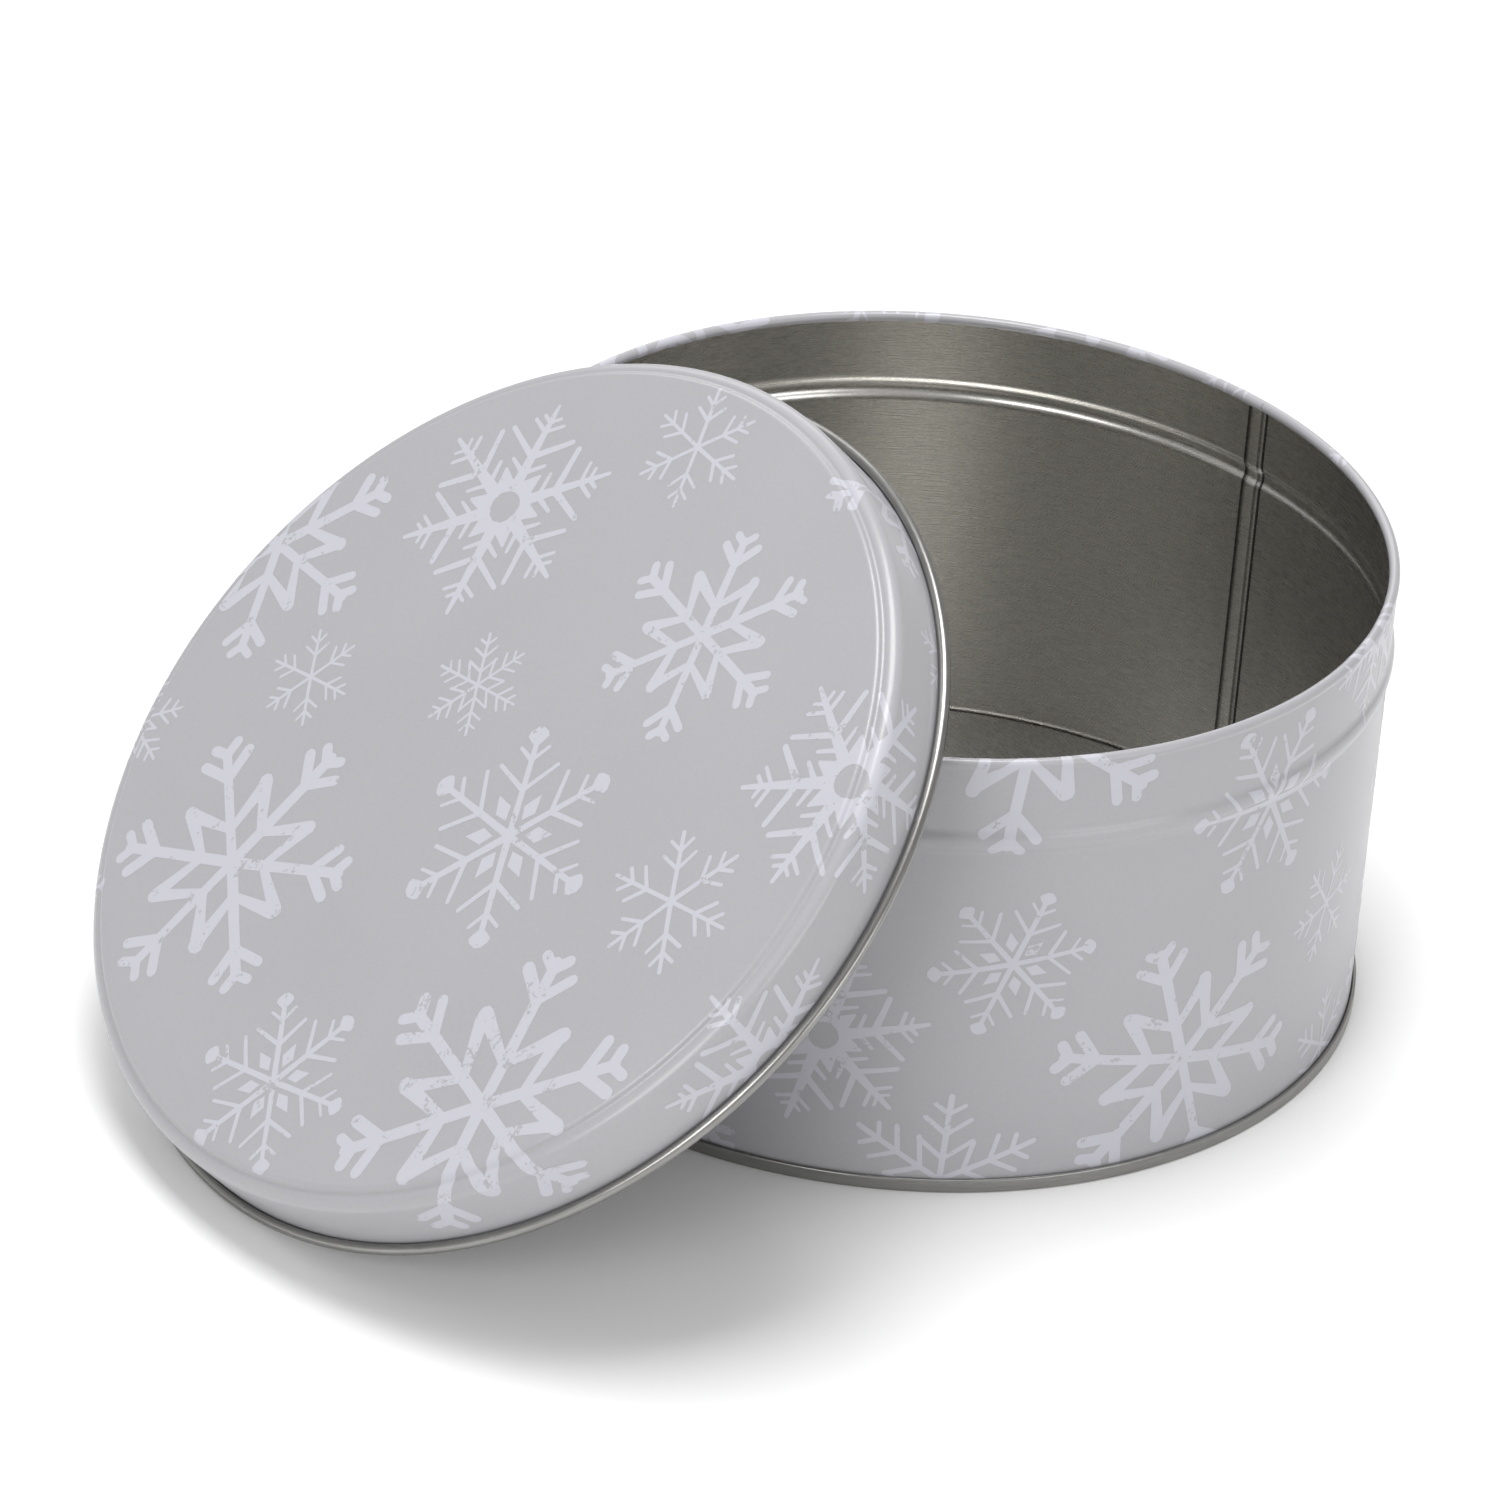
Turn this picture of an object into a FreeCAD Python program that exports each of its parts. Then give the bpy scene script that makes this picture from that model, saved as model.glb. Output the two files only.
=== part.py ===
# Round tinplate box with a slip-over lid, built as three sheet-metal pieces:
# the rolled side wall, the bottom end seamed onto it, and the drawn lid.
# Units are millimetres. The origin is the centre of the box's foot on the table, +Z is up,
# and -X is the side that the lid leans on, with its lower edge on the table.
import FreeCAD, Part
import math
import os

os.makedirs("parts", exist_ok=True)

# ---- driving dimensions ----
SHEET = 0.25                  # tinplate thickness
SEAM_GAP = 0.07               # room left between the folded layers of the double seam

CAN_HEIGHT = 100.0            # foot to top of the rim
WALL_RADIUS = 94.0            # outside of the side wall
RIM_TUBE_RADIUS = 1.125       # outside radius of the rolled rim
RIM_TURN = 300.0              # degrees that the rim is rolled through
RIM_FLARE_RADIUS = 1.5        # the wall leans out a little under the rolled rim
RIM_FLARE_ANGLE = 25.0

BEAD_BELOW_RIM = 18.5         # centre of the stop bead below the top of the rim
BEAD_WIDTH = 6.6
BEAD_HEIGHT = 0.85            # how far the stop bead stands out

BODY_HOOK_TOP = 2.3           # upper end of the wall's folded hook
BODY_HOOK_BEND = 0.85         # height at which the hook starts to turn
COVER_HOOK_TIP = 1.1          # lower end of the bottom end's tucked hook
SEAM_BEND = 2.62              # height at which the seam's top fold starts
FOOT_CORNER = 0.44            # bend radius of the foot, at the middle of the sheet
PANEL_HEIGHT = 3.3            # middle of the bottom panel above the table
PANEL_CORNER = 1.0            # bend from the bottom panel into the seam

LOCK_WIDTH = 4.4              # folded side seam, inside the wall
LOCK_DEPTH = 0.5
LOCK_LIP_WIDTH = 1.0          # single layer beside the fold
LOCK_LIP_DEPTH = 0.18
LOCK_FOOT = 4.2               # the folded seam runs from here
LOCK_TOP_BELOW_RIM = 2.6      # to here
LOCK_AZIMUTH = 10.6            # degrees from +X
RIM_LAP_WIDTH = 5.0           # the rim is one sheet thicker where its ends overlap
RIM_LAP_DEPTH = 0.16
RIM_LAP_SHORT = 20.0          # the overlap stops this many degrees before the rim's own edge
LOCK_OVERLAP = 0.1            # the folded layers are one with the wall

LID_SKIRT_RADIUS = 95.15      # outside of the lid's skirt
LID_RING_HEIGHT = 17.4        # lid's bottom edge to the ring round its panel
LID_STEP = 1.2                # the panel is raised this far above the ring
LID_STEP_BEND = 1.0           # bend radius of the step, at the middle of the sheet
LID_CROWN_RADIUS = 2.6        # outside radius between ring and skirt
LID_TUBE_RADIUS = 1.23        # outside radius of the lid's rolled edge
LID_TURN = 305.0              # degrees that the lid's edge is rolled through

LID_TILT = 43.0               # degrees that the leaning lid is off level
LID_SIDE_SHIFT = -14.0        # lid's centre to one side of where it rests on the rim
LID_REST_GAP = 0.2            # left between the lid and the rim

HALF = SHEET / 2
FULL_TURN = 360.0


class SheetPath:
    """Middle line of a bent sheet in the (radius, height) plane, as tangent lines and arcs."""

    def __init__(self, radius, height, heading, thickness=SHEET):
        self.half = thickness / 2
        self.point = (radius, height)
        self.heading = heading
        self.left = []
        self.right = []
        self.start = self.sides()

    def sides(self):
        angle = math.radians(self.heading)
        out_r = -math.sin(angle) * self.half
        out_z = math.cos(angle) * self.half
        r, z = self.point
        return (r + out_r, z + out_z), (r - out_r, z - out_z)

    def line(self, length):
        before = self.sides()
        angle = math.radians(self.heading)
        r, z = self.point
        self.point = (r + length * math.cos(angle), z + length * math.sin(angle))
        after = self.sides()
        self.left.append((before[0], None, after[0]))
        self.right.append((before[1], None, after[1]))

    def line_to_radius(self, radius):
        self.line(abs(radius - self.point[0]))

    def line_to_height(self, height):
        self.line(abs(height - self.point[1]))

    def arc(self, radius, turn):
        """Bend through turn degrees, to the left if positive."""
        before = self.sides()
        side = math.copysign(1.0, turn)
        angle = math.radians(self.heading)
        r, z = self.point
        centre = (r - side * radius * math.sin(angle), z + side * radius * math.cos(angle))
        states = []
        for part in (0.5, 1.0):
            heading = math.radians(self.heading + turn * part)
            mid = (centre[0] + side * radius * math.sin(heading),
                   centre[1] - side * radius * math.cos(heading))
            states.append((mid, self.heading + turn * part))
        self.point, self.heading = states[0]
        middle = self.sides()
        self.point, self.heading = states[1]
        after = self.sides()
        self.left.append((before[0], middle[0], after[0]))
        self.right.append((before[1], middle[1], after[1]))

    def face(self):
        edges = [flat_edge(*piece) for piece in self.left]
        edges.append(flat_edge(self.left[-1][2], None, self.right[-1][2]))
        for first, middle, last in reversed(self.right):
            edges.append(flat_edge(last, middle, first))
        edges.append(flat_edge(self.start[1], None, self.start[0]))
        return Part.Face(Part.Wire(edges))


def vector(point):
    return FreeCAD.Vector(point[0], 0, point[1])


def flat_edge(first, middle, last):
    if middle is None:
        return Part.makeLine(vector(first), vector(last))
    return Part.Arc(vector(first), vector(middle), vector(last)).toShape()


def revolved(face, angle=FULL_TURN):
    axis = FreeCAD.Vector(0, 0, 1)
    return face.revolve(FreeCAD.Vector(0, 0, 0), axis, angle)


# ---- places that follow from the dimensions ----
WALL_MIDDLE = WALL_RADIUS - HALF
LAYER = SHEET + SEAM_GAP
CHUCK_RADIUS = WALL_MIDDLE - LAYER
COVER_HOOK_RADIUS = WALL_MIDDLE + LAYER
BODY_HOOK_RADIUS = WALL_MIDDLE + 2 * LAYER
SEAM_RADIUS = WALL_MIDDLE + 3 * LAYER
BEAD_MIDDLE = CAN_HEIGHT - BEAD_BELOW_RIM
BEAD_ANGLE = 2 * math.degrees(math.atan(2 * BEAD_HEIGHT / BEAD_WIDTH))
BEAD_BEND = BEAD_WIDTH / (4 * math.sin(math.radians(BEAD_ANGLE)))
RIM_BEND = RIM_TUBE_RADIUS - HALF
FLARE = math.radians(RIM_FLARE_ANGLE)
RIM_CENTRE_HEIGHT = CAN_HEIGHT - RIM_TUBE_RADIUS
RIM_CENTRE_RADIUS = (WALL_MIDDLE + RIM_FLARE_RADIUS * (1 - math.cos(FLARE))
                     - RIM_BEND * math.cos(FLARE))
FLARE_START = RIM_CENTRE_HEIGHT - (RIM_FLARE_RADIUS + RIM_BEND) * math.sin(FLARE)


def stop_bead(path):
    """Low outward bead, on a path that runs upwards."""
    path.line_to_height(BEAD_MIDDLE - BEAD_WIDTH / 2)
    path.arc(BEAD_BEND, -BEAD_ANGLE)
    path.arc(BEAD_BEND, 2 * BEAD_ANGLE)
    path.arc(BEAD_BEND, -BEAD_ANGLE)


def turned_about_z(shape, azimuth):
    shape.rotate(FreeCAD.Vector(0, 0, 0), FreeCAD.Vector(0, 0, 1), azimuth)
    return shape


def inside_strip(width, depth, shift):
    """Layers standing in from the wall, shift millimetres along it from the seam's middle."""
    radius = WALL_RADIUS - SHEET - depth / 2 + LOCK_OVERLAP / 2
    path = SheetPath(radius, LOCK_FOOT, 90, depth + LOCK_OVERLAP)
    stop_bead(path)
    path.line_to_height(CAN_HEIGHT - LOCK_TOP_BELOW_RIM)
    angle = math.degrees(width / WALL_RADIUS)
    azimuth = LOCK_AZIMUTH + math.degrees(shift / WALL_RADIUS) - angle / 2
    return turned_about_z(revolved(path.face(), angle), azimuth)


def rim_lap():
    """The rolled rim's overlapping end, one sheet proud inside the roll."""
    path = SheetPath(RIM_CENTRE_RADIUS + RIM_BEND - RIM_LAP_DEPTH, RIM_CENTRE_HEIGHT, 90)
    path.arc(RIM_BEND, RIM_TURN - RIM_FLARE_ANGLE - RIM_LAP_SHORT)
    angle = math.degrees(RIM_LAP_WIDTH / WALL_RADIUS)
    return turned_about_z(revolved(path.face(), angle), LOCK_AZIMUTH - angle / 2)


def side_wall():
    path = SheetPath(BODY_HOOK_RADIUS, BODY_HOOK_TOP, -90)
    path.line_to_height(BODY_HOOK_BEND)
    path.arc(LAYER, -180)
    stop_bead(path)
    path.line_to_height(FLARE_START)
    path.arc(RIM_FLARE_RADIUS, -RIM_FLARE_ANGLE)
    path.arc(RIM_BEND, RIM_TURN)
    shape = revolved(path.face())
    lip_shift = (LOCK_WIDTH + LOCK_LIP_WIDTH) / 2
    pieces = [inside_strip(LOCK_WIDTH, LOCK_DEPTH, 0.0),
              inside_strip(LOCK_LIP_WIDTH + LOCK_OVERLAP, LOCK_LIP_DEPTH, -lip_shift),
              rim_lap()]
    return shape.fuse(pieces)


def bottom_end():
    path = SheetPath(0, PANEL_HEIGHT, 0)
    path.line_to_radius(CHUCK_RADIUS - PANEL_CORNER)
    path.arc(PANEL_CORNER, -90)
    path.line_to_height(FOOT_CORNER + HALF)
    path.arc(FOOT_CORNER, 90)
    path.line_to_radius(SEAM_RADIUS - FOOT_CORNER)
    path.arc(FOOT_CORNER, 90)
    path.line_to_height(SEAM_BEND)
    path.arc(LAYER, 180)
    path.line_to_height(COVER_HOOK_TIP)
    return revolved(path.face())


def lid_upright():
    """The lid as it sits level, with its lower edge at height zero."""
    step_angle = math.degrees(math.acos(1 - LID_STEP / (2 * LID_STEP_BEND)))
    step_run = 2 * LID_STEP_BEND * math.sin(math.radians(step_angle))
    crown_bend = LID_CROWN_RADIUS - HALF
    ring_radius = LID_SKIRT_RADIUS - LID_CROWN_RADIUS
    path = SheetPath(0, LID_RING_HEIGHT + LID_STEP - HALF, 0)
    path.line_to_radius(ring_radius - step_run)
    path.arc(LID_STEP_BEND, -step_angle)
    path.arc(LID_STEP_BEND, step_angle)
    path.arc(crown_bend, -90)
    path.line_to_height(LID_TUBE_RADIUS)
    path.arc(LID_TUBE_RADIUS - HALF, LID_TURN)
    return revolved(path.face())


def lid():
    """The lid leaning: lower edge on the table, underside of its panel on the rim."""
    tilt = math.radians(LID_TILT)
    lean = math.sin(tilt)
    level = math.cos(tilt)
    edge_radius = LID_SKIRT_RADIUS - SHEET + LID_TUBE_RADIUS
    edge_height = edge_radius * lean + LID_TUBE_RADIUS
    origin_z = edge_height - LID_TUBE_RADIUS * level
    underside = LID_RING_HEIGHT + LID_STEP - SHEET
    rise = level * (RIM_CENTRE_HEIGHT - origin_z)
    origin_x = -RIM_CENTRE_RADIUS + (underside - RIM_TUBE_RADIUS - LID_REST_GAP - rise) / lean
    shape = lid_upright()
    shape.rotate(FreeCAD.Vector(0, 0, 0), FreeCAD.Vector(0, 1, 0), -LID_TILT)
    shape.translate(FreeCAD.Vector(origin_x, LID_SIDE_SHIFT, origin_z))
    return shape


SUB_PARTS = {
    "side_wall": side_wall,
    "bottom_end": bottom_end,
    "lid": lid,
}

for node, make in SUB_PARTS.items():
    shape = make()
    if shape.ShapeType != "Solid" and len(shape.Solids) == 1:
        shape = shape.Solids[0]
    shape.exportStep(os.path.join("parts", node + ".step"))
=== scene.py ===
# Round tinplate box with its slip-over lid leaning on it. Lengths are named in millimetres and
# turned into metres where the meshes are made.
import math
import random

import bpy
from mathutils import Matrix, Vector
from mathutils.geometry import delaunay_2d_cdt


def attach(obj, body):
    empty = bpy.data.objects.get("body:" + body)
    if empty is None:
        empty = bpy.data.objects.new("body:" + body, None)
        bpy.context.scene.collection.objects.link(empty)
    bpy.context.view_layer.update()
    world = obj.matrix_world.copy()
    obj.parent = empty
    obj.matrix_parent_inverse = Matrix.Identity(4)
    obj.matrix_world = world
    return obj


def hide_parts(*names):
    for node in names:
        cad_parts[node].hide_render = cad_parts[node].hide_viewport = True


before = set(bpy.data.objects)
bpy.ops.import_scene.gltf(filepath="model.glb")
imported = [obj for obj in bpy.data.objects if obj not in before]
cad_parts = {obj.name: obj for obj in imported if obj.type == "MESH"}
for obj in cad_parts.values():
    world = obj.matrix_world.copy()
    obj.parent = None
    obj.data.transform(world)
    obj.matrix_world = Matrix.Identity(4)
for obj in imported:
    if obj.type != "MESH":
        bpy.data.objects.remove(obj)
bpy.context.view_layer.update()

MM = 0.001
FULL_TURN = 360.0

# ---- the metal, as in the CAD source ----
SHEET = 0.25
SEAM_GAP = 0.07
CAN_HEIGHT = 100.0
WALL_RADIUS = 94.0
RIM_TUBE_RADIUS = 1.125
RIM_TURN = 300.0
RIM_FLARE_RADIUS = 1.5
RIM_FLARE_ANGLE = 25.0
BEAD_BELOW_RIM = 18.5
BEAD_WIDTH = 6.6
BEAD_HEIGHT = 0.85
BODY_HOOK_TOP = 2.3
BODY_HOOK_BEND = 0.85
COVER_HOOK_TIP = 1.1
SEAM_BEND = 2.62
FOOT_CORNER = 0.44
PANEL_HEIGHT = 3.3
PANEL_CORNER = 1.0
LOCK_FOOT = 4.2            # the folded side seam runs from here
LOCK_TOP_BELOW_RIM = 2.6   # to here
LOCK_AZIMUTH = 10.6        # degrees from +X
RIM_LAP_WIDTH = 5.0
RIM_LAP_DEPTH = 0.16
RIM_LAP_SHORT = 20.0
LID_SKIRT_RADIUS = 95.15
LID_RING_HEIGHT = 17.4
LID_STEP = 1.2
LID_STEP_BEND = 1.0
LID_CROWN_RADIUS = 2.6
LID_TUBE_RADIUS = 1.23
LID_TURN = 305.0
LID_TILT = 43.0
LID_SIDE_SHIFT = -14.0
LID_REST_GAP = 0.2

HALF = SHEET / 2
LAYER = SHEET + SEAM_GAP
WALL_MIDDLE = WALL_RADIUS - HALF
CHUCK_RADIUS = WALL_MIDDLE - LAYER
BODY_HOOK_RADIUS = WALL_MIDDLE + 2 * LAYER
SEAM_RADIUS = WALL_MIDDLE + 3 * LAYER
BEAD_MIDDLE = CAN_HEIGHT - BEAD_BELOW_RIM
BEAD_ANGLE = 2 * math.degrees(math.atan(2 * BEAD_HEIGHT / BEAD_WIDTH))
BEAD_BEND = BEAD_WIDTH / (4 * math.sin(math.radians(BEAD_ANGLE)))
RIM_BEND = RIM_TUBE_RADIUS - HALF
FLARE = math.radians(RIM_FLARE_ANGLE)
RIM_CENTRE_HEIGHT = CAN_HEIGHT - RIM_TUBE_RADIUS
RIM_CENTRE_RADIUS = (WALL_MIDDLE + RIM_FLARE_RADIUS * (1 - math.cos(FLARE))
                     - RIM_BEND * math.cos(FLARE))
FLARE_START = RIM_CENTRE_HEIGHT - (RIM_FLARE_RADIUS + RIM_BEND) * math.sin(FLARE)

# ---- mesh fineness ----
SEGMENTS = 288            # round a full turn
ARC_STEP = 9.0            # degrees of bend between two rings
LEAST_ARC_STEPS = 3
LAP_SEGMENTS = 6
SEAM_SHARP_ANGLE = 50.0   # the folded seam is shaded flat over sharper bends than this

# ---- the print ----
INK_TOP = 0.03            # the ink stands this far above the lacquer
INK_FOOT = -0.02          # and its underside is this far below the lacquer
SKIRT_STRETCH = 1.22      # the print is squeezed where the lid was drawn down
PRINT_FINE_BEND = 0.5     # longest edge of the print where the metal bends
PRINT_RIM_BEND = 0.35     # on the rolled rim
PRINT_SKIRT = 1.5         # on the lid's skirt
PRINT_FLAT = 3.5          # and where the metal is flat
SPLIT_PASSES = 8
CDT_ROUNDING = 1e-5       # points closer than this are one


class SheetLine:
    """Middle line of a bent sheet in the (radius, height) plane: points with their heading."""

    def __init__(self, radius, height, heading):
        self.points = [(radius, height, heading)]

    def line(self, length):
        r, z, heading = self.points[-1]
        angle = math.radians(heading)
        self.points.append((r + length * math.cos(angle), z + length * math.sin(angle), heading))

    def line_to_radius(self, radius):
        self.line(abs(radius - self.points[-1][0]))

    def line_to_height(self, height):
        self.line(abs(height - self.points[-1][1]))

    def arc(self, radius, turn):
        """Bend through turn degrees, to the left if positive."""
        r, z, heading = self.points[-1]
        side = math.copysign(1.0, turn)
        angle = math.radians(heading)
        centre = (r - side * radius * math.sin(angle), z + side * radius * math.cos(angle))
        steps = max(LEAST_ARC_STEPS, math.ceil(abs(turn) / ARC_STEP))
        for step in range(1, steps + 1):
            bent = heading + turn * step / steps
            angle = math.radians(bent)
            self.points.append((centre[0] + side * radius * math.sin(angle),
                                centre[1] - side * radius * math.cos(angle), bent))

    def lengths(self):
        """Arc length of each point along the line."""
        total = [0.0]
        for (r0, z0, _), (r1, z1, _) in zip(self.points, self.points[1:]):
            total.append(total[-1] + math.hypot(r1 - r0, z1 - z0))
        return total

    def at(self, distance, lengths):
        """Radius, height and heading at an arc length."""
        distance = max(lengths[0], min(lengths[-1], distance))
        i = 0
        while i < len(lengths) - 2 and lengths[i + 1] < distance:
            i += 1
        share = (distance - lengths[i]) / (lengths[i + 1] - lengths[i])
        return [a + share * (b - a) for a, b in zip(self.points[i], self.points[i + 1])]


# ---- the bent sheets ----
def stop_bead(line):
    line.line_to_height(BEAD_MIDDLE - BEAD_WIDTH / 2)
    line.arc(BEAD_BEND, -BEAD_ANGLE)
    line.arc(BEAD_BEND, 2 * BEAD_ANGLE)
    line.arc(BEAD_BEND, -BEAD_ANGLE)


def wall_neck(line):
    """From the straight wall up over the bead and round the rolled rim."""
    stop_bead(line)
    line.line_to_height(FLARE_START)
    line.arc(RIM_FLARE_RADIUS, -RIM_FLARE_ANGLE)
    line.arc(RIM_BEND, RIM_TURN)


def wall_line():
    line = SheetLine(BODY_HOOK_RADIUS, BODY_HOOK_TOP, -90)
    line.line_to_height(BODY_HOOK_BEND)
    line.arc(LAYER, -180)
    wall_neck(line)
    return line


def printed_wall_line():
    line = SheetLine(WALL_MIDDLE, BODY_HOOK_BEND, 90)
    wall_neck(line)
    return line


def bottom_line():
    line = SheetLine(0, PANEL_HEIGHT, 0)
    line.line_to_radius(CHUCK_RADIUS - PANEL_CORNER)
    line.arc(PANEL_CORNER, -90)
    line.line_to_height(FOOT_CORNER + HALF)
    line.arc(FOOT_CORNER, 90)
    line.line_to_radius(SEAM_RADIUS - FOOT_CORNER)
    line.arc(FOOT_CORNER, 90)
    line.line_to_height(SEAM_BEND)
    line.arc(LAYER, 180)
    line.line_to_height(COVER_HOOK_TIP)
    return line


def lid_line():
    step_angle = math.degrees(math.acos(1 - LID_STEP / (2 * LID_STEP_BEND)))
    step_run = 2 * LID_STEP_BEND * math.sin(math.radians(step_angle))
    line = SheetLine(0, LID_RING_HEIGHT + LID_STEP - HALF, 0)
    line.line_to_radius(LID_SKIRT_RADIUS - LID_CROWN_RADIUS - step_run)
    line.arc(LID_STEP_BEND, -step_angle)
    line.arc(LID_STEP_BEND, step_angle)
    line.arc(LID_CROWN_RADIUS - HALF, -90)
    line.line_to_height(LID_TUBE_RADIUS)
    line.arc(LID_TUBE_RADIUS - HALF, LID_TURN)
    return line


def rim_lap_line():
    line = SheetLine(RIM_CENTRE_RADIUS + RIM_BEND - RIM_LAP_DEPTH, RIM_CENTRE_HEIGHT, 90)
    line.arc(RIM_BEND, RIM_TURN - RIM_FLARE_ANGLE - RIM_LAP_SHORT)
    return line


def lid_pose():
    """The lid leans: its lower edge is on the table and its panel rests on the rim."""
    tilt = math.radians(LID_TILT)
    edge_radius = LID_SKIRT_RADIUS - SHEET + LID_TUBE_RADIUS
    height = edge_radius * math.sin(tilt) + LID_TUBE_RADIUS * (1 - math.cos(tilt))
    underside = LID_RING_HEIGHT + LID_STEP - SHEET - RIM_TUBE_RADIUS - LID_REST_GAP
    rise = math.cos(tilt) * (RIM_CENTRE_HEIGHT - height)
    along = -RIM_CENTRE_RADIUS + (underside - rise) / math.sin(tilt)
    place = Matrix.Translation(Vector((along, LID_SIDE_SHIFT, height)))
    return place @ Matrix.Rotation(-tilt, 4, "Y")


# ---- meshes ----
def add_object(name, vertices, faces, normals, slots, uvs, materials, pose=None):
    """A mesh object; with a pose, its points are put where the posed part stands."""
    if pose:
        turn = pose.to_3x3()
        vertices = [pose @ Vector(v) for v in vertices]
        normals = [turn @ Vector(n) for n in normals]
    mesh = bpy.data.meshes.new(name)
    mesh.from_pydata([tuple(c * MM for c in v) for v in vertices], [], faces)
    layer = mesh.uv_layers.new(name="sheet")
    for polygon, corners, slot in zip(mesh.polygons, uvs, slots):
        polygon.material_index = slot
        polygon.use_smooth = True
        for loop, uv in zip(polygon.loop_indices, corners):
            layer.data[loop].uv = (uv[0] * MM, uv[1] * MM)
    for material in materials:
        mesh.materials.append(material)
    if normals:
        mesh.normals_split_custom_set_from_vertices(normals)
    mesh.update()
    piece = bpy.data.objects.new(name, mesh)
    bpy.context.scene.collection.objects.link(piece)
    return piece


def sheet_skins(line, left_slot, right_slot):
    """The closed outline of a sheet: up the left of its middle line and back down the right."""
    skins = []
    along = line.lengths()
    for (r, z, heading), distance in zip(line.points, along):
        angle = math.radians(heading)
        skins.append((r, z, -math.sin(angle), math.cos(angle), left_slot, distance))
    for (r, z, heading), distance in zip(reversed(line.points), reversed(along)):
        angle = math.radians(heading)
        skins.append((r, z, math.sin(angle), -math.cos(angle), right_slot, distance))
    return skins


def turn_skins(skins, angles):
    """Vertices and normals of the outline at each angle, and the vertex numbers of each ring."""
    vertices, normals, rings = [], [], []
    for r, z, nr, nz, _, _ in skins:
        radius = max(0.0, r + nr * HALF)
        pole = r < HALF
        ring = []
        for angle in angles[:1] if pole else angles:
            ring.append(len(vertices))
            vertices.append((0 if pole else radius * math.cos(angle),
                             0 if pole else radius * math.sin(angle), z + nz * HALF))
            normals.append((nr * math.cos(angle), nr * math.sin(angle), nz))
        rings.append(ring)
    return vertices, normals, rings


def band_corners(low, high, j, nxt, span, rise):
    """Corners of one face between two rings, each with its UV; a ring may be a single point."""
    (u0, u1), (v0, v1) = span, rise
    if len(low) == 1:
        return [(low[0], (u0, v0)), (high[j], (u0, v1)), (high[nxt], (u1, v1))]
    if len(high) == 1:
        return [(low[j], (u0, v0)), (high[0], (u0, v1)), (low[nxt], (u1, v0))]
    return [(low[j], (u0, v0)), (high[j], (u0, v1)), (high[nxt], (u1, v1)), (low[nxt], (u1, v0))]


def end_faces(rings):
    """Quads that close both cut ends of a sheet that doesn't go all the way round."""
    count = len(rings)
    faces = []
    for i in range(count // 2 - 1):
        quad = [i, i + 1, count - 2 - i, count - 1 - i]
        faces.append([rings[q][0] for q in quad])
        faces.append([rings[q][-1] for q in reversed(quad)])
    return faces


def sheet_piece(name, line, left_slot, right_slot, materials, pose=None,
                start=0.0, sweep=FULL_TURN, segments=SEGMENTS):
    """The sheet turned about Z: a closed shell with one skin on each side of its middle line."""
    skins = sheet_skins(line, left_slot, right_slot)
    whole = sweep == FULL_TURN
    columns = segments if whole else segments + 1
    angles = [math.radians(start + sweep * j / segments) for j in range(segments + 1)]
    vertices, normals, rings = turn_skins(skins, angles[:columns])
    faces, slots, uvs = [], [], []
    for i, (low, skin) in enumerate(zip(rings, skins)):
        k = (i + 1) % len(skins)
        high = rings[k]
        if len(low) == 1 and len(high) == 1:
            continue
        for j in range(segments):
            span = (angles[j] * WALL_RADIUS, angles[j + 1] * WALL_RADIUS)
            corners = band_corners(low, high, j, (j + 1) % columns, span, (skin[5], skins[k][5]))
            faces.append([corner[0] for corner in corners])
            uvs.append([corner[1] for corner in corners])
            slots.append(skin[4])
    if not whole:
        ends = end_faces(rings)
        faces += ends
        slots += [left_slot] * len(ends)
        uvs += [[(0, 0)] * 4] * len(ends)
    return add_object(name, vertices, faces, normals, slots, uvs, materials, pose)


# Cross-section of the folded side seam: (along the wall, inwards from its inside face).
LOCK_SECTION = [
    (2.25, -0.05), (2.22, 0.20), (2.12, 0.38), (1.95, 0.47), (1.70, 0.50), (-1.70, 0.50),
    (-1.95, 0.47), (-2.12, 0.38), (-2.22, 0.24), (-2.36, 0.19), (-3.05, 0.18), (-3.18, 0.12),
    (-3.22, -0.05),
]


def lock_vertices(line):
    """One copy of the seam's cross-section at each point of the line up the inside of the wall."""
    vertices = []
    for r, z, heading in line.points:
        angle = math.radians(heading)
        for shift, depth in LOCK_SECTION:
            radius = r - depth * math.sin(angle)
            azimuth = math.radians(LOCK_AZIMUTH) + shift / WALL_RADIUS
            vertices.append((radius * math.cos(azimuth), radius * math.sin(azimuth),
                             z + depth * math.cos(angle)))
    return vertices


def lock_seam(name, material):
    """The folded side seam, standing inside the wall and following its bead."""
    line = SheetLine(WALL_RADIUS - SHEET, LOCK_FOOT, 90)
    stop_bead(line)
    line.line_to_height(CAN_HEIGHT - LOCK_TOP_BELOW_RIM)
    along = line.lengths()
    faces, uvs = [], []
    wide = len(LOCK_SECTION)
    top = (len(line.points) - 1) * wide
    for row, (low, high) in enumerate(zip(along, along[1:])):
        for col in range(wide):
            nxt = (col + 1) % wide
            a, b = row * wide + col, row * wide + nxt
            faces.append([a, b, b + wide, a + wide])
            left, right = LOCK_SECTION[col][0], LOCK_SECTION[nxt][0]
            uvs.append([(low, left), (low, right), (high, right), (high, left)])
    faces.append(list(reversed(range(wide))))
    faces.append([top + col for col in range(wide)])
    uvs += [[(0, 0)] * wide] * 2
    piece = add_object(name, lock_vertices(line), faces, None, [0] * len(faces), uvs, [material])
    piece.data.set_sharp_from_angle(angle=math.radians(SEAM_SHARP_ANGLE))
    return piece


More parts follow.
